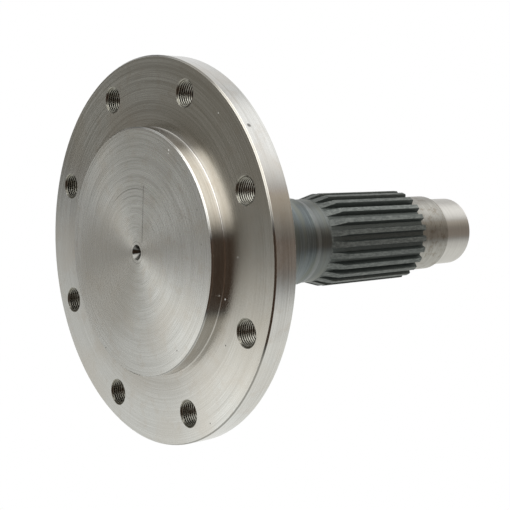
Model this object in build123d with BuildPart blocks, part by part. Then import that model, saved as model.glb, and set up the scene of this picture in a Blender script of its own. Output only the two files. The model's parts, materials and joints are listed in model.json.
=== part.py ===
"""Planetary gear shaft: a flange with a pilot boss, a hub, a necked shaft, a spline and two journals.

It is one piece of steel, turned all over, then drilled, hobbed and ground. The origin is the centre
of the boss's face, and +Z runs along the shaft to its free end. All sizes are in millimetres.
"""

import os
from math import acos, cos, pi, radians, sin, tan

from build123d import *

# Pilot boss, which centres the flange in what is bolted to it
boss_dia = 151.1
boss_height = 9.2
boss_edge_chamfer = 0.8
boss_root_radius = 0.7

# Flange
flange_dia = 236.5
flange_thickness = 15.4
rim_chamfer = 0.9

# Threaded holes, bored here to the major diameter of their M16 x 1.5 thread
bolt_edge_distance = 17.0
bolt_count = 8
bolt_hole_dia = 16.0
bolt_mouth_dia = 17.1

# Hub, the plain barrel behind the flange, and the cone from it down to the neck
hub_dia = 93.5
hub_length = 54.2
hub_root_radius = 5.5
hub_edge_radius = 2.8
cone_half_angle = 25.0

# Neck, then a short taper into the relief that the hob runs out in
neck_dia = 59.0
neck_length = 7.4
neck_blend_radius = 27.5
ridge_taper_length = 3.6
relief_depth_below_root = 0.1
relief_length = 9.0

# Spline: straight teeth with involute flanks, and a shallow cone that leads them in
tooth_count = 24
spline_dia = 64.5
spline_root_dia = 57.3
pressure_angle = 20.0
tooth_phase = 10.2
lead_in_angle = 15.0
full_tooth_length = 77.1
tooth_end_chamfer = 0.5

# Journals for the two bearings
inner_journal_dia = 55.0
inner_journal_length = 29.7
outer_journal_dia = 50.0
outer_journal_length = 28.3
journal_edge_chamfer = 0.9
end_chamfer = 1.3

# Lathe centres in both ends
centre_mouth_dia = 9.5
centre_angle = 60.0
centre_drill_dia = 4.0
centre_drill_depth = 10.0
drill_tip_angle = 118.0

# Radii that follow from the diameters
boss_radius = boss_dia / 2
flange_radius = flange_dia / 2
bolt_circle_radius = flange_radius - bolt_edge_distance
hub_radius = hub_dia / 2
neck_radius = neck_dia / 2
root_radius = spline_root_dia / 2
crest_radius = spline_dia / 2
relief_radius = root_radius - relief_depth_below_root
inner_radius = inner_journal_dia / 2
outer_radius = outer_journal_dia / 2

# Heights above the boss's face, from the flange to the free end
flange_front = boss_height
flange_back = flange_front + flange_thickness
hub_end = flange_back + hub_length
cone_end = hub_end + (hub_radius - neck_radius) / tan(radians(cone_half_angle))
neck_end = cone_end + neck_length
relief_start = neck_end + ridge_taper_length
relief_end = relief_start + relief_length
lead_in_end = relief_end + (crest_radius - relief_radius) / tan(radians(lead_in_angle))
spline_end = lead_in_end + full_tooth_length
inner_journal_end = spline_end + inner_journal_length
shaft_end = inner_journal_end + outer_journal_length

# The blend from cone to neck ends within the neck
neck_blend_limit = 0.95 * neck_length / tan(radians(cone_half_angle / 2))

# Tooth form: the pitch and base circles that the flanks unroll from
tooth_module = spline_dia / (tooth_count + 1)
pitch_radius = tooth_module * tooth_count / 2
base_radius = pitch_radius * cos(radians(pressure_angle))
cutter_clearance = 1.0


def involute(angle):
    """The involute function of a pressure angle in radians."""
    return tan(angle) - angle


def space_half_angle(radius):
    """Half the angle, in radians, of the space between two teeth at this radius."""
    angle_here = acos(min(1.0, base_radius / radius))
    half_tooth_at_pitch = pi / (2 * tooth_count)
    half_tooth = half_tooth_at_pitch + involute(radians(pressure_angle)) - involute(angle_here)
    return pi / tooth_count - half_tooth


def flank_point(radius, side):
    """The point of a tooth space's flank at this radius, with the space centred on +X."""
    angle = side * space_half_angle(radius)
    return (radius * cos(angle), radius * sin(angle))


def ring(part, radius, height):
    """The circular edge nearest to this radius and height."""
    circles = part.edges().filter_by(GeomType.CIRCLE)
    return circles.sort_by(lambda e: abs(e.radius - radius) + abs(e.arc_center.Z - height))[0]


# One space between two teeth, reaching past the crests so that it cuts them open
with BuildSketch() as tooth_space:
    open_radius = crest_radius + cutter_clearance
    middle_radius = (root_radius + open_radius) / 2
    with BuildLine():
        for side in (-1, 1):
            ThreePointArc(
                flank_point(root_radius, side),
                flank_point(middle_radius, side),
                flank_point(open_radius, side),
            )
        ThreePointArc(flank_point(root_radius, -1), (root_radius, 0), flank_point(root_radius, 1))
        Line(flank_point(open_radius, -1), flank_point(open_radius, 1))
    make_face()


# A lathe centre's cone and drilled pilot, as the tool that cuts it, with its mouth at the origin
with BuildPart() as lathe_centre:
    mouth_radius = centre_mouth_dia / 2
    drill_radius = centre_drill_dia / 2
    cone_depth = (mouth_radius - drill_radius) / tan(radians(centre_angle / 2))
    tip_depth = centre_drill_depth + drill_radius / tan(radians(drill_tip_angle / 2))
    with BuildSketch(Plane.XZ):
        with BuildLine():
            Polyline(
                (0, 0),
                (mouth_radius, 0),
                (drill_radius, cone_depth),
                (drill_radius, centre_drill_depth),
                (0, tip_depth),
                close=True,
            )
        make_face()
    revolve(axis=Axis.Z)


with BuildPart() as shaft:
    # The turned blank, as one profile from the boss's face to the free end
    with BuildSketch(Plane.XZ):
        with BuildLine():
            Polyline(
                (0, 0),
                (boss_radius, 0),
                (boss_radius, flange_front),
                (flange_radius, flange_front),
                (flange_radius, flange_back),
                (hub_radius, flange_back),
                (hub_radius, hub_end),
                (neck_radius, cone_end),
                (neck_radius, neck_end),
                (relief_radius, relief_start),
                (relief_radius, relief_end),
                (crest_radius, lead_in_end),
                (crest_radius, spline_end),
                (inner_radius, spline_end),
                (inner_radius, inner_journal_end),
                (outer_radius, inner_journal_end),
                (outer_radius, shaft_end),
                (0, shaft_end),
                close=True,
            )
        make_face()
    revolve(axis=Axis.Z)

    # Blends in the corners that stay
    fillet(ring(shaft, boss_radius, flange_front), boss_root_radius)
    fillet(ring(shaft, hub_radius, flange_back), hub_root_radius)
    fillet(ring(shaft, hub_radius, hub_end), hub_edge_radius)
    fillet(ring(shaft, neck_radius, cone_end), min(neck_blend_radius, neck_blend_limit))

    # Broken edges
    chamfer(ring(shaft, boss_radius, 0), boss_edge_chamfer)
    chamfer(ring(shaft, flange_radius, flange_front), rim_chamfer)
    chamfer(ring(shaft, flange_radius, flange_back), rim_chamfer)
    chamfer(ring(shaft, crest_radius, spline_end), tooth_end_chamfer)
    chamfer(ring(shaft, inner_radius, inner_journal_end), journal_edge_chamfer)
    chamfer(ring(shaft, outer_radius, shaft_end), end_chamfer)

    # Bolt holes, right through the flange, with a countersunk mouth on both faces
    mouth_depth = (bolt_mouth_dia - bolt_hole_dia) / 2
    with BuildSketch(Plane.XY.offset(flange_front)):
        with PolarLocations(bolt_circle_radius, bolt_count):
            Circle(bolt_hole_dia / 2)
    extrude(amount=flange_thickness, mode=Mode.SUBTRACT)
    circles = shaft.edges().filter_by(GeomType.CIRCLE)
    mouths = circles.sort_by(lambda e: abs(e.radius - bolt_hole_dia / 2))[: 2 * bolt_count]
    chamfer(mouths, mouth_depth)

    # Tooth spaces, which start in the relief and stop at the inner journal's shoulder
    space_start = (relief_start + relief_end) / 2
    with BuildSketch(Plane.XY.offset(space_start)):
        with PolarLocations(0, tooth_count, start_angle=tooth_phase + 180 / tooth_count):
            add(tooth_space.sketch)
    extrude(amount=spline_end - space_start, mode=Mode.SUBTRACT)

    # Lathe centres in the boss's face and in the free end
    with Locations(Plane.XY, Plane(origin=(0, 0, shaft_end), z_dir=(0, 0, -1))):
        add(lathe_centre.part, mode=Mode.SUBTRACT)

shaft.part.label = "planetary_gear_shaft"
os.makedirs("parts", exist_ok=True)
export_step(shaft.part, "parts/planetary_gear_shaft.step")
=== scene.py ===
"""Looks of a flanged gear shaft: turned, blued, hobbed and ground steel, and its bolt holes' threads.

Lengths are in metres and angles in degrees. Inside a finish, lengths are in millimetres, because
that is the scale of the tool marks. The shaft stands on its boss's face, along +Z.
"""

import json
import math

import bpy
from mathutils import Matrix, Vector


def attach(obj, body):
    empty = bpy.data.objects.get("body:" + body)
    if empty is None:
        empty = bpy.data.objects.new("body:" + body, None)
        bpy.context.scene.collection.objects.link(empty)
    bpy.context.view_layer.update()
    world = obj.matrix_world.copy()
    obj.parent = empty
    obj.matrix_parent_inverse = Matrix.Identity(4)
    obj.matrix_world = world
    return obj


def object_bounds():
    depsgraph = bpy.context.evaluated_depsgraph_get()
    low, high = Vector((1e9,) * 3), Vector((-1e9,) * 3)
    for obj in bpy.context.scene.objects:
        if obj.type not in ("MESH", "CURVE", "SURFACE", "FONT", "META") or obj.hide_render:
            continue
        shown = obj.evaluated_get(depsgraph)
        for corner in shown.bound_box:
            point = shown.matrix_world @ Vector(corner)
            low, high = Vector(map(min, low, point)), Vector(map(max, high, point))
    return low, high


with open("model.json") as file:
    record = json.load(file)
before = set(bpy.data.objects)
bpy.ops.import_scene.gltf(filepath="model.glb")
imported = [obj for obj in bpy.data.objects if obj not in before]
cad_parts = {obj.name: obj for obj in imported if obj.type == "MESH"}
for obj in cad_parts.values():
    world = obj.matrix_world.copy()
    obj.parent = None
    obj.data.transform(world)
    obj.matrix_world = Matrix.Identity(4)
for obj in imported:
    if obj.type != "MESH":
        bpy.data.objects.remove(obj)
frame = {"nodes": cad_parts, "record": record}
cad_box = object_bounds()

shaft = frame["nodes"]["planetary_gear_shaft"]
mounts = {mount["name"]: mount for mount in frame["record"]["mounts"]}
mm = 0.001


def near_end(pin):
    """The height in millimetres at which a pin mount begins."""
    return pin["pos_m"][2] / mm - pin["dims"]["length_mm"] / 2


# The flange, whose bolt pattern is stated at the middle of its thickness
bolt_pattern = mounts["flange_bolts"]
bolt_count = bolt_pattern["dims"]["count"]
bolt_circle_radius = bolt_pattern["dims"]["pcd_mm"] / 2 * mm
bolt_hole_radius = bolt_pattern["dims"]["hole_r_mm"] * mm
flange_face = mounts["flange_face"]["pos_m"][2]
flange_thickness = 2 * (bolt_pattern["pos_m"][2] - flange_face)

# The thread in each bolt hole. It is cut on the inside of a sleeve, clear of the facets of the CAD
# bore, and the sleeve's outer wall is buried in the flange
bore_facet_depth = 0.11 * mm
thread_major_radius = bolt_hole_radius - bore_facet_depth
thread_minor_radius = 7.19 * mm
thread_pitch = 1.5 * mm
countersink_angle = 120
sleeve_mouth_radius = 8.44 * mm
sleeve_wall_radius = 8.65 * mm
sleeve_lip = 0.01 * mm
weld_distance = 0.005 * mm
sharp_edge_angle = 25
steps_a_pitch = 16
steps_around = 56

# Where the colour of a thread changes, as millimetres from its hole's axis
groove_start, groove_end = 7.38, 7.95
mouth_start, mouth_full = 7.9, 8.05

# Places along the shaft where the finish changes, as millimetres above the boss's face
flange_front = flange_face / mm
hub_end = 78.8
ridge_start = 123.2
ridge_end = 126.8
relief_end = 135.8
spline_end = near_end(mounts["inner_journal"])
journal_step = near_end(mounts["outer_journal"])

# Radii and edges, in millimetres
boss_radius = mounts["pilot"]["dims"]["r_mm"]
boss_edge_chamfer = 0.8
flange_radius = cad_box[1][0] / mm
rim_chamfer = 0.9
centre_mouth_radius = 4.75
relief_radius = 28.55
crest_radius = 32.25
lead_in_angle = 15

# Dark pits and bright dings: each one's place on the surface and its size, in millimetres
pit_places = [
    ((-2, -68, 0), 1.1),
    ((17, -64, 0), 1.0),
    ((44, 59, 0), 1.2),
    ((66, -17, 0), 1.2),
    ((73, -51, flange_front), 1.3),
    ((111, -19, flange_front), 1.2),
    ((-33, -114, 13), 3.4),
]
ding_places = [
    ((-43, -56, 0), 1.3),
    ((-41.5, -55, 0), 0.9),
    ((49, -61, flange_front), 1.4),
    ((-48, -96, flange_front), 0.8),
    ((31, -81, flange_front), 0.8),
    ((-59, -47, 4), 1.0),
]

# The camera, as fitted to the photograph's ellipses
view_azimuth = 15.56
view_elevation = -39.15
view_roll = 85.25
view_distance = 682.69 * mm
view_target = Vector((9.77, 2.72, 89.55)) * mm
focal_length_mm = 73.077
shift_right = 0.00508
shift_up = 0.00942

# The room as the bare metal sees it: dark brown where it is unlit, with broad pale surfaces and
# lamps. Each is a round patch: degrees to the right of and above the way the camera looks, then
# its reach from the centre and the width of its soft edge in degrees, and its light
unlit_room = (0.115, 0.072, 0.048)
pale_surfaces = {
    "main lamp, above and behind the camera": (-160, 45, 45, 29, (3.5, 3.5, 3.5)),
    "second lamp, on the upper right": (75, 50, 38, 36, (1.35, 1.35, 1.35)),
    "warm wall under the second lamp": (75, 50, 58, 48, (0.72, 0.65, 0.56)),
    "white table, whose near edge the flat faces reflect": (-18, -58, 75, 13, (0.96, 0.965, 0.94)),
    "glare of the main lamp on the table": (-86, -20, 18, 16, (1.7, 1.7, 1.65)),
    "white table on the right": (45, -62, 72, 30, (0.88, 0.88, 0.86)),
    "white backdrop behind the shaft": (10, 25, 50, 20, (0.9, 0.9, 0.9)),
    "grey wall on the right": (57, -5, 46, 16, (0.54, 0.5, 0.45)),
    "ceiling on the left": (-80, 62, 38, 34, (1.05, 1.05, 1.05)),
    "grey wall on the left": (-75, 15, 50, 30, (0.19, 0.18, 0.155)),
}

# The floor: how far it reaches, how far it lies below the boss's face, and how far from the shaft
# its pale colour ends and plain white begins
floor_half_width = 12.0
floor_drop = 0.2 * mm
pale_until = 0.2
white_from = 1.2


class Number:
    """A number that a node gives. Python's operators on it add Math nodes."""

    def __init__(self, nodes, socket):
        self.nodes = nodes
        self.socket = socket

    def math(self, operation, *others):
        return self.nodes.math(operation, self, *others)

    def __add__(self, other):
        return self.math("ADD", other)

    def __sub__(self, other):
        return self.math("SUBTRACT", other)

    def __rsub__(self, other):
        return self.nodes.math("SUBTRACT", other, self)

    def __mul__(self, other):
        return self.math("MULTIPLY", other)

    def __truediv__(self, other):
        return self.math("DIVIDE", other)

    def __rtruediv__(self, other):
        return self.nodes.math("DIVIDE", other, self)

    __radd__ = __add__
    __rmul__ = __mul__


class Nodes:
    """A node tree, with one method that adds any node and sets or links its sockets."""

    def __init__(self, tree):
        self.tree = tree
        self.tree.nodes.clear()

    def add(self, kind, settings=None, sockets=None, output=0):
        """Adds a node and gives one of its outputs, if it has any."""
        node = self.tree.nodes.new(kind)
        for name, value in (settings or {}).items():
            setattr(node, name, value)
        for key, value in (sockets or {}).items():
            if isinstance(value, Number):
                self.tree.links.new(value.socket, node.inputs[key])
            else:
                node.inputs[key].default_value = value
        if len(node.outputs) == 0:
            return None
        return Number(self, node.outputs[output])

    def outputs(self, kind, sockets=None):
        """Adds a node and gives all its outputs by name."""
        node = self.add(kind, None, sockets).socket.node
        return {socket.name: Number(self, socket) for socket in node.outputs}

    def math(self, operation, *values):
        return self.add("ShaderNodeMath", {"operation": operation}, dict(enumerate(values)))

    def vector_math(self, operation, sockets, output="Vector"):
        return self.add("ShaderNodeVectorMath", {"operation": operation}, sockets, output)

    def largest(self, values):
        """The largest of several numbers at each place."""
        most = values[0]
        for value in values[1:]:
            most = most.math("MAXIMUM", value)
        return most

    def smooth(self, value, low, high):
        """0 where the value is at low and 1 where it is at high, with a soft change between them."""
        sockets = {"Value": value, "From Min": low, "From Max": high}
        return self.add("ShaderNodeMapRange", {"interpolation_type": "SMOOTHSTEP"}, sockets)

    def band(self, value, low, high, edge):
        """1 between low and high, and 0 outside them, with edges this soft."""
        rise = self.smooth(value, low - edge, low + edge)
        return rise * self.smooth(value, high + edge, high - edge)

    def vector(self, x, y, z):
        return self.add("ShaderNodeCombineXYZ", None, {0: x, 1: y, 2: z})

    def split(self, vector):
        """The three numbers of a vector."""
        parts = self.outputs("ShaderNodeSeparateXYZ", {0: vector})
        return [parts[name] for name in "XYZ"]

    def noise(self, vector, scale, detail=2.0, roughness=0.5):
        sockets = {"Vector": vector, "Scale": scale, "Detail": detail, "Roughness": roughness}
        return self.add("ShaderNodeTexNoise", None, sockets)

    def mix(self, factor, first, second):
        """The first colour where the factor is 0 and the second where it is 1."""
        # These go by number, because the node's other sockets have the same names
        factor_socket, first_socket, second_socket, mixed_colour = 0, 6, 7, 2
        sockets = {
            factor_socket: factor,
            first_socket: colour(first),
            second_socket: colour(second),
        }
        return self.add("ShaderNodeMix", {"data_type": "RGBA"}, sockets, mixed_colour)

    def coats(self, base, layers):
        """A colour with others laid over it in turn, each given as where it covers and its colour."""
        for cover, tone in layers:
            base = self.mix(cover, base, tone)
        return base


def colour(value):
    """A colour with its alpha, or a link as it is."""
    return value if isinstance(value, Number) else (*value, 1.0)


class Turned(Nodes):
    """A finish for a turned piece, with its place on the lathe and the marks that turning leaves."""

    def __init__(self, material):
        material.use_nodes = True
        super().__init__(material.node_tree)
        place = self.add("ShaderNodeTexCoord", output="Object")
        self.place = self.vector_math("SCALE", {0: place, "Scale": 1 / mm})
        self.x, self.y, self.z = self.split(self.place)
        self.radius = (self.x * self.x + self.y * self.y).math("SQRT")
        safe_radius = self.radius.math("MAXIMUM", 0.001)
        self.cos_around = self.x / safe_radius
        self.sin_around = self.y / safe_radius

        # This grows outwards over a flat face and upwards along the shaft, so rings show on both
        self.profile = self.radius + self.z

    def rings(self, per_mm, breaks, detail=2.0, roughness=0.5):
        """Marks that run round the axis: so many a millimetre, broken up this much on the way."""
        around = self.vector(
            self.profile * per_mm, self.cos_around * breaks, self.sin_around * breaks
        )
        return self.noise(around, 1.0, detail, roughness)

    def blotches(self, scale, low, high, detail, roughness=0.5):
        """Scattered patches: 0 where the noise is at low and 1 where it is at high."""
        return self.smooth(self.noise(self.place, scale, detail, roughness), low, high)

    def spot(self, centre, size):
        """1 at a point on the piece, and 0 from half this size away."""
        away = self.vector_math("DISTANCE", {0: self.place, 1: centre}, "Value")
        return self.smooth(away, size / 2, size / 4)

    def scratch(self, start, end, width):
        """1 along a straight line on a flat face that faces down the axis."""
        run_x, run_y = end[0] - start[0], end[1] - start[1]
        length_squared = run_x * run_x + run_y * run_y
        from_x = self.x - start[0]
        from_y = self.y - start[1]
        share = (from_x * run_x + from_y * run_y) / length_squared
        share = share.math("MAXIMUM", 0.0).math("MINIMUM", 1.0)
        off_x = from_x - share * run_x
        off_y = from_y - share * run_y
        away = (off_x * off_x + off_y * off_y).math("SQRT")
        return self.smooth(away, width / 2, width / 6)

    def arc(self, radius, middle, spread, width):
        """1 along an arc about the axis, fading towards its ends this many degrees from its middle."""
        toward = math.radians(middle)
        facing = self.cos_around * math.cos(toward) + self.sin_around * math.sin(toward)
        fade_end = math.cos(math.radians(spread))
        fade_start = math.cos(math.radians(spread / 3))
        along = self.smooth(facing, fade_end, fade_start)
        return self.smooth((self.radius - radius).math("ABSOLUTE"), width / 2, width / 6) * along

    def broken_edge(self, height, radius, chamfer):
        """1 on the chamfer between a face at this height and a rim of this radius, and 0 beside it."""
        margin, softness = 0.12, 0.06
        slope = self.band(self.z, height + margin, height + chamfer - margin, softness)
        near_rim = self.smooth(self.radius, radius - 1.2, radius - 1.0)
        return slope * near_rim


class ShaftSteel(Turned):
    """The shaft's own steel: where each finish lies, and the turning marks that they share."""

    def __init__(self, material):
        super().__init__(material)
        z = self.z
        self.boss_face = self.smooth(z, 0.3, 0.05)
        self.flange_ring = self.band(z, flange_front - 0.4, flange_front + 0.4, 0.1)
        self.front = self.band(z, 1.0, flange_front + 1, 0.3)
        self.neck = self.smooth(z, hub_end - 6, hub_end + 8)
        self.relief = self.band(z, ridge_end - 1.5, relief_end + 2, 1.5)
        self.ridge_highlight = self.band(z, ridge_start - 1.2, ridge_end - 0.6, 0.8)
        self.spline = self.band(z, relief_end, spline_end + 0.1, 0.3)
        self.journals = self.smooth(z, spline_end + 0.05, spline_end + 0.3)
        self.outer_journal = self.smooth(z, journal_step - 0.6, journal_step - 0.4)
        # The centre bores at both ends, which are painted dark as shade
        self.end_bore_shade = self.smooth(
            self.radius, centre_mouth_radius + 0.05, centre_mouth_radius - 0.1
        )

        # Marks of turning, from broad bands to single grooves
        bands = self.rings(per_mm=0.13, breaks=0.35)
        self.lines = self.rings(per_mm=1.1, breaks=1.0, roughness=0.6)
        self.grooves = self.rings(per_mm=2.6, breaks=1.5, roughness=0.7)
        self.marks = self.smooth(bands * 0.12 + self.lines * 0.5 + self.grooves * 0.38, 0.37, 0.63)


def turned_colour(steel):
    """Bright turned steel, with the dulling and the dirt of the flange and the boss, and painted shade
    on one side of the flange, on the boss's wall, in the corner and on the chamfers.
    """
    scoring = steel.smooth(steel.rings(per_mm=1.7, breaks=1.2, detail=1.0), 0.6, 0.7)
    smudges = steel.blotches(0.11, 0.5, 0.66, detail=5.0, roughness=0.65)
    patches = steel.blotches(0.03, 0.45, 0.7, detail=3.0)
    grain = steel.blotches(1.1, 0.52, 0.68, detail=4.0, roughness=0.75)

    # A handling stain on the boss; painted shade on one side of the flange's face, and painted shade on
    # the boss's wall and in the corner beside it
    stain = steel.spot(centre=(2, 38, 0), size=96) * steel.boss_face
    shaded_flange_side = steel.front * steel.smooth(steel.sin_around, -0.35, -0.85)
    shaded_flange_side = shaded_flange_side * steel.smooth(steel.radius, boss_radius, boss_radius + 4)
    corner_shade = steel.front * steel.smooth(steel.radius, boss_radius + 26, boss_radius + 1)

    # Specks of dirt, and painted shade on the chamfers of the boss and the rim
    specks = steel.blotches(0.35, 0.63, 0.72, detail=5.0, roughness=0.8)
    boss_chamfer_shade = steel.broken_edge(0, boss_radius, boss_edge_chamfer)
    rim_chamfer_shade = steel.broken_edge(flange_front, flange_radius, rim_chamfer)

    bright = steel.mix(steel.marks, (0.527, 0.524, 0.5), (0.664, 0.663, 0.64))
    layers = [
        (scoring * 0.3, (0.33, 0.32, 0.29)),
        (smudges * 0.3, (0.49, 0.44, 0.38)),
        (patches * 0.6, (0.56, 0.53, 0.48)),
        (grain * 0.2, (0.42, 0.405, 0.37)),
        (stain * 0.45, (0.38, 0.35, 0.3)),
        # Painted shade: one side of the flange's face, then the boss's wall and the corner beside it
        (shaded_flange_side * 0.5, (0.38, 0.35, 0.29)),
        (corner_shade * 0.3, (0.28, 0.24, 0.19)),
        # Painted shade on the chamfers
        ((boss_chamfer_shade + rim_chamfer_shade) * 0.6, (0.12, 0.115, 0.1)),
        (specks * 0.4, (0.2, 0.17, 0.13)),
    ]
    return steel.coats(bright, layers)


def blued_colour(steel):
    """Blue-grey neck, straw-coloured in places, paler in the relief, and with a painted highlight on the
    ridge by it.
    """
    straw = steel.smooth(steel.rings(per_mm=0.14, breaks=0.7), 0.45, 0.62)
    blue_grey = steel.mix(steel.marks, (0.09, 0.106, 0.109), (0.185, 0.208, 0.21))
    layers = [
        (straw * 0.5, (0.17, 0.175, 0.13)),
        (steel.relief * 0.5, (0.18, 0.185, 0.17)),
        # Painted highlight on the ridge
        (steel.ridge_highlight * 0.45, (0.27, 0.275, 0.27)),
    ]
    return steel.coats(blue_grey, layers)


def hobbed_colour(steel):
    """Dark teeth, mottled lengthwise, with painted shade on their flanks and in their roots and a
    painted highlight along their crests.
    """
    lead_in = (steel.z - relief_end) * math.tan(math.radians(lead_in_angle)) + relief_radius
    envelope = lead_in.math("MINIMUM", crest_radius)
    # Painted highlight along the crests, and painted shade on the flanks and in the roots
    crest_highlight = steel.smooth(envelope - steel.radius, 0.4, 0.1)
    lengthwise = steel.vector(steel.x, steel.y, steel.z * 0.4)
    mottle = steel.noise(lengthwise, 0.7, detail=4.0, roughness=0.6)
    flank_shade = steel.mix(mottle, (0.04, 0.048, 0.043), (0.09, 0.1, 0.092))
    crest_mottle = steel.smooth(mottle, 0.35, 0.7)
    crests = steel.mix(crest_mottle, (0.085, 0.095, 0.088), (0.165, 0.176, 0.164))
    return steel.mix(crest_highlight, flank_shade, crests)


def ground_colour(steel):
    """Ground journals: the inner one dull and stained, and the outer one bright."""
    stains = steel.blotches(0.22, 0.48, 0.68, detail=4.0, roughness=0.7)
    inner = steel.mix(steel.marks, (0.31, 0.30, 0.27), (0.44, 0.43, 0.395))
    inner = steel.mix(stains * 0.65, inner, (0.22, 0.19, 0.15))
    outer = steel.mix(steel.marks, (0.52, 0.505, 0.47), (0.595, 0.58, 0.545))
    return steel.mix(steel.outer_journal, inner, outer)


def scratches_and_pits(steel):
    """Dark wear from handling: marks on the boss's face, and pits on the boss and the flange."""
    radial_scratch = steel.scratch(start=(-34, -23.5), end=(-3.5, -8), width=1.0) * 0.62
    light_scratch = steel.scratch(start=(-6.5, -50.5), end=(2, -60.5), width=0.7) * 0.2
    outer_arc = steel.arc(radius=38.6, middle=-170, spread=34, width=0.9) * 0.35
    inner_arc = steel.arc(radius=34.2, middle=-163, spread=26, width=0.8) * 0.25
    tool_ring = steel.band(steel.radius, 6.3, 6.7, 0.15) * 0.4
    face_marks = steel.largest([radial_scratch, light_scratch, outer_arc + inner_arc, tool_ring])
    pits = steel.largest([steel.spot(place, size) for place, size in pit_places])
    return (face_marks * steel.boss_face).math("MAXIMUM", pits * 0.8)


def shaft_roughness(steel):
    """Smoothest on the hub, rougher on the faces and journals, and roughest on the spline."""
    rough = steel.boss_face * 0.105 + steel.flange_ring * 0.03 + 0.165
    rough = rough + steel.neck * (1 - steel.journals) * 0.2
    rough = rough + steel.spline * 0.06 + steel.journals * 0.14
    return rough + (steel.marks - 0.5) * 0.04


def shaft_steel():
    """Turned flange and boss, blued neck, dark hobbed spline and ground journals."""
    material = bpy.data.materials.new("machined_steel")
    steel = ShaftSteel(material)

    # Dings: small spots that are near white and mostly not metallic
    dings = steel.largest([steel.spot(place, size) for place, size in ding_places])
    layers = [
        (steel.neck, blued_colour(steel)),
        (steel.spline, hobbed_colour(steel)),
        (steel.journals, ground_colour(steel)),
        # Painted shade in the centre bores at both ends
        (steel.end_bore_shade * 0.85, (0.07, 0.07, 0.065)),
        (scratches_and_pits(steel), (0.06, 0.055, 0.05)),
        (dings, (0.85, 0.84, 0.80)),
    ]
    bump = steel.add(
        "ShaderNodeBump",
        None,
        {
            "Strength": 0.24,
            "Distance": 0.02 * mm,
            "Height": steel.lines * 0.6 + steel.grooves * 0.4,
        },
    )
    surface = steel.add(
        "ShaderNodeBsdfPrincipled",
        None,
        {
            "Base Color": steel.coats(turned_colour(steel), layers),
            "Metallic": 1 - (steel.spline * 0.45).math("MAXIMUM", dings * 0.8),
            "Roughness": shaft_roughness(steel),
            "Normal": bump,
            "Anisotropic": 0.95,
            "Anisotropic Rotation": 0.25,
        },
    )
    steel.add("ShaderNodeOutputMaterial", None, {"Surface": surface})
    return material


def tapped_steel():
    """Cut threads: darker than the faces, with painted shade in their grooves and on their countersinks.
    """
    material = bpy.data.materials.new("tapped_steel")
    steel = Turned(material)

    # How far a point is from the axis of the hole that it is in
    hole_spacing = math.tau / bolt_count
    bearing = steel.y.math("ARCTAN2", steel.x)
    off_hole = bearing - (bearing / hole_spacing).math("ROUND") * hole_spacing
    along = steel.radius * off_hole.math("COSINE") - bolt_circle_radius / mm
    across = steel.radius * off_hole.math("SINE")
    off_axis = (along * along + across * across).math("SQRT")

    # Painted shade in the thread's grooves and on its countersink
    groove_shade = steel.band(off_axis, groove_start, groove_end, 0.1)
    mouth_shade = steel.smooth(off_axis, mouth_start, mouth_full)
    mottle = steel.noise(steel.place, 0.7, detail=3.0)
    crests = steel.mix(steel.smooth(mottle, 0.3, 0.7), (0.30, 0.29, 0.25), (0.46, 0.45, 0.40))
    layers = [
        (groove_shade, (0.13, 0.125, 0.10)),
        (mouth_shade * 0.5, (0.16, 0.15, 0.12)),
    ]
    surface = steel.add(
        "ShaderNodeBsdfPrincipled",
        None,
        {
            "Base Color": steel.coats(crests, layers),
            "Metallic": 1.0,
            "Roughness": mottle * 0.1 + 0.2,
        },
    )
    steel.add("ShaderNodeOutputMaterial", None, {"Surface": surface})
    return material


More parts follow.
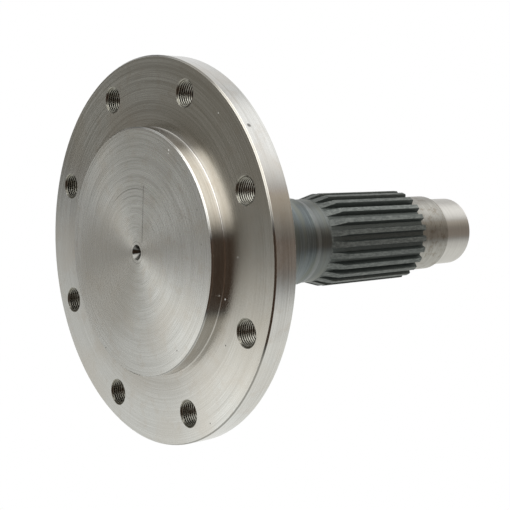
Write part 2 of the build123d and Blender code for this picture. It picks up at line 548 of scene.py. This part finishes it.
def thread_tree(finish):
    """Geometry nodes that line each bolt hole with a closed sleeve, cut inside as a 60 degree thread."""
    tree = bpy.data.node_groups.new("tapped_holes", "GeometryNodeTree")
    sizes = {
        "Hole Count": "NodeSocketInt",
        "Circle Radius": "NodeSocketFloat",
        "Face Height": "NodeSocketFloat",
        "Thickness": "NodeSocketFloat",
        "Major Radius": "NodeSocketFloat",
        "Minor Radius": "NodeSocketFloat",
        "Pitch": "NodeSocketFloat",
        "Lip": "NodeSocketFloat",
        "Mouth Radius": "NodeSocketFloat",
        "Wall Radius": "NodeSocketFloat",
        "Steps A Pitch": "NodeSocketInt",
        "Steps Deep": "NodeSocketInt",
        "Steps Around": "NodeSocketInt",
    }
    for name, kind in sizes.items():
        tree.interface.new_socket(name, in_out="INPUT", socket_type=kind)
    tree.interface.new_socket("Geometry", in_out="OUTPUT", socket_type="NodeSocketGeometry")

    nodes = Nodes(tree)
    size = nodes.outputs("NodeGroupInput")
    steps_deep = size["Steps Deep"]

    # A grid whose rows follow the thread round the hole, with three more that come back up the wall
    grid_sizes = {
        "Size X": 1.0,
        "Size Y": 1.0,
        "Vertices X": steps_deep + 4,
        "Vertices Y": size["Steps Around"] + 1,
    }
    grid = nodes.add("GeometryNodeMeshGrid", None, grid_sizes)
    across, along, _ = nodes.split(nodes.add("GeometryNodeInputPosition"))
    row = (across + 0.5) * (steps_deep + 3)
    round_share = along + 0.5
    angle = round_share * math.tau
    last_depth = size["Thickness"] - size["Lip"]
    climb = (row / size["Steps A Pitch"] + round_share - 1) * size["Pitch"]
    depth = climb.math("MAXIMUM", size["Lip"]).math("MINIMUM", last_depth)
    past_thread = row.math("GREATER_THAN", steps_deep + 0.5)
    back_at_lip = row.math("GREATER_THAN", steps_deep + 1.5)
    closing = row.math("GREATER_THAN", steps_deep + 2.5)
    depth = depth + back_at_lip * (size["Lip"] - depth)

    # The thread's form: flats of a quarter and an eighth of the pitch, with straight flanks between
    turn = (depth / size["Pitch"] - round_share).math("FRACT")
    from_crest = (turn - 0.5).math("ABSOLUTE")
    flank = {"Value": from_crest, "From Min": 1 / 8, "From Max": 1 / 2 - 1 / 16}
    up_flank = nodes.add("ShaderNodeMapRange", None, flank)
    cut = size["Minor Radius"] + up_flank * (size["Major Radius"] - size["Minor Radius"])

    # Both ends open out as a countersink
    spread = math.tan(math.radians(countersink_angle / 2))
    near_mouth = size["Mouth Radius"] - (depth - size["Lip"]) * spread
    far_mouth = size["Mouth Radius"] - (last_depth - depth) * spread
    inside = cut.math("MAXIMUM", near_mouth).math("MAXIMUM", far_mouth)
    inside = inside + (past_thread - closing) * (size["Wall Radius"] - inside)
    place = nodes.vector(
        inside * angle.math("COSINE"), inside * angle.math("SINE"), depth + size["Face Height"]
    )

    # The grid bent into a closed sleeve, smooth but for the thread's own edges
    sleeve = nodes.add("GeometryNodeSetPosition", None, {"Geometry": grid, "Position": place})
    weld = {"Geometry": sleeve, "Distance": weld_distance}
    sleeve = nodes.add("GeometryNodeMergeByDistance", None, weld)
    smooth_faces = {"Geometry": sleeve, "Shade Smooth": True}
    sleeve = nodes.add("GeometryNodeSetShadeSmooth", None, smooth_faces)
    edge_angle = nodes.add("GeometryNodeInputMeshEdgeAngle")
    sharp = edge_angle.math("GREATER_THAN", math.radians(sharp_edge_angle))
    sharp_edges = {"Geometry": sleeve, "Selection": sharp, "Shade Smooth": False}
    sleeve = nodes.add("GeometryNodeSetShadeSmooth", {"domain": "EDGE"}, sharp_edges)

    # One sleeve at each hole
    hole_angle = nodes.add("GeometryNodeInputIndex") / size["Hole Count"] * math.tau
    circle_radius = size["Circle Radius"]
    spot = nodes.vector(
        circle_radius * hole_angle.math("COSINE"), circle_radius * hole_angle.math("SINE"), 0.0
    )
    holes = {"Count": size["Hole Count"], "Position": spot}
    spots = nodes.add("GeometryNodePoints", None, holes)
    placed = nodes.add("GeometryNodeInstanceOnPoints", None, {"Points": spots, "Instance": sleeve})
    real = nodes.add("GeometryNodeRealizeInstances", None, {"Geometry": placed})
    finished = nodes.add("GeometryNodeSetMaterial", None, {"Geometry": real, "Material": finish})
    nodes.add("NodeGroupOutput", None, {"Geometry": finished})
    return tree


def tapped_holes(finish):
    """The threads of all the bolt holes, as one plain mesh."""
    tree = thread_tree(finish)
    maker = bpy.data.objects.new("thread_maker", bpy.data.meshes.new("thread_maker"))
    bpy.context.scene.collection.objects.link(maker)
    modifier = maker.modifiers.new("tapped_holes", "NODES")
    modifier.node_group = tree
    values = {
        "Hole Count": bolt_count,
        "Circle Radius": bolt_circle_radius,
        "Face Height": flange_face,
        "Thickness": flange_thickness,
        "Major Radius": thread_major_radius,
        "Minor Radius": thread_minor_radius,
        "Pitch": thread_pitch,
        "Lip": sleeve_lip,
        "Mouth Radius": sleeve_mouth_radius,
        "Wall Radius": sleeve_wall_radius,
        "Steps A Pitch": steps_a_pitch,
        "Steps Deep": math.ceil(steps_a_pitch * (flange_thickness / thread_pitch + 1)),
        "Steps Around": steps_around,
    }
    for socket in tree.interface.items_tree:
        if socket.name in values:
            modifier[socket.identifier] = values[socket.name]
    evaluated = maker.evaluated_get(bpy.context.evaluated_depsgraph_get())
    mesh = bpy.data.meshes.new_from_object(evaluated)
    bpy.data.objects.remove(maker)
    mesh.name = "bolt_hole_threads"
    threads = bpy.data.objects.new("bolt_hole_threads", mesh)
    bpy.context.scene.collection.objects.link(threads)
    return threads


def photo_camera():
    """The camera below the boss's face, rolled so that the shaft lies to the right.

    Gives back how the camera is turned.
    """
    azimuth = math.radians(view_azimuth)
    elevation = math.radians(view_elevation)
    level = math.cos(elevation)
    back = Vector((math.sin(azimuth) * level, -math.cos(azimuth) * level, math.sin(elevation)))
    roll = Matrix.Rotation(math.radians(view_roll), 3, "Z")
    turn = back.to_track_quat("Z", "Y").to_matrix() @ roll
    data = bpy.data.cameras.new("photo_camera")
    data.lens = focal_length_mm
    data.sensor_width = 36.0
    data.shift_x = shift_right
    data.shift_y = shift_up
    data.clip_start = 0.01
    data.clip_end = 50.0
    camera = bpy.data.objects.new("photo_camera", data)
    camera.matrix_world = Matrix.Translation(view_target + back * view_distance) @ turn.to_4x4()
    bpy.context.scene.collection.objects.link(camera)
    bpy.context.scene.camera = camera
    return turn


def studio(turn):
    """White all round, except to the metal, which sees a darker room with pale walls and lamps."""
    world = bpy.data.worlds.new("studio")
    world.use_nodes = True
    bpy.context.scene.world = world
    room = Nodes(world.node_tree)
    direction = room.add("ShaderNodeTexCoord", output="Generated")
    seen = room.vector(*unlit_room)
    for bearing, height, reach, edge, light in pale_surfaces.values():
        around = math.radians(bearing)
        above = math.radians(height)
        ahead = math.cos(above)
        aim = turn @ Vector((math.sin(around) * ahead, math.sin(above), -math.cos(around) * ahead))
        facing = room.vector_math("DOT_PRODUCT", {0: direction, 1: aim}, "Value")
        outer = math.cos(math.radians(reach))
        inner = math.cos(math.radians(reach - edge))
        glow = room.smooth(facing, outer, inner)
        lit = room.vector_math("SCALE", {0: light, "Scale": glow})
        seen = room.vector_math("MAXIMUM", {0: seen, 1: lit})
    path = room.outputs("ShaderNodeLightPath")
    shown = room.mix(path["Is Glossy Ray"], (1.0, 1.0, 1.0), seen)
    light = room.add("ShaderNodeBackground", None, {"Color": shown, "Strength": 1.0})
    room.add("ShaderNodeOutputWorld", None, {"Surface": light})


def pale_floor():
    """Matt and pale under the shaft, white further off, and see-through from below."""
    material = bpy.data.materials.new("pale_floor")
    material.use_nodes = True
    nodes = Nodes(material.node_tree)
    place = nodes.add("ShaderNodeTexCoord", output="Object")
    away = nodes.vector_math("LENGTH", {0: place}, "Value")
    fade = nodes.smooth(away, pale_until, white_from)
    shade = nodes.mix(fade, (0.8, 0.8, 0.79), (1.0, 1.0, 1.0))
    pale = nodes.add("ShaderNodeBsdfDiffuse", None, {"Color": shade})
    clear = nodes.add("ShaderNodeBsdfTransparent")
    side = nodes.outputs("ShaderNodeNewGeometry")["Backfacing"]
    shown = nodes.add("ShaderNodeMixShader", None, {0: side, 1: pale, 2: clear})
    nodes.add("ShaderNodeOutputMaterial", None, {"Surface": shown})
    return material


def floor(finish):
    """A floor that takes the shaft's shadow, and that the shaft neither mirrors nor is lit by."""
    near, far = -floor_half_width, floor_half_width
    corners = [(x, y, -floor_drop) for x, y in ((near, near), (far, near), (far, far), (near, far))]
    mesh = bpy.data.meshes.new("floor")
    mesh.from_pydata(corners, [], [(0, 1, 2, 3)])
    mesh.materials.append(finish)
    plane = bpy.data.objects.new("floor", mesh)
    plane.visible_glossy = False
    plane.visible_diffuse = False
    plane.visible_shadow = False
    plane.visible_transmission = False
    bpy.context.scene.collection.objects.link(plane)
    return plane


def softbox(name, place, aim, size, power):
    """A soft square lamp, which the metal doesn't mirror."""
    data = bpy.data.lights.new(name, "AREA")
    data.shape = "SQUARE"
    data.size = size
    data.energy = power
    lamp = bpy.data.objects.new(name, data)
    lamp.location = place
    lamp.rotation_euler = (Vector(place) - Vector(aim)).to_track_quat("Z", "Y").to_euler()
    lamp.visible_glossy = False
    bpy.context.scene.collection.objects.link(lamp)


shaft.data.materials.clear()
shaft.data.materials.append(shaft_steel())

threads = tapped_holes(tapped_steel())
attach(threads, "root")

turn = photo_camera()
studio(turn)
floor(pale_floor())
softbox("key", place=(-0.5, -0.6, 1.1), aim=(0, 0, 0.1), size=0.8, power=9)

bpy.context.scene.view_settings.view_transform = "Standard"
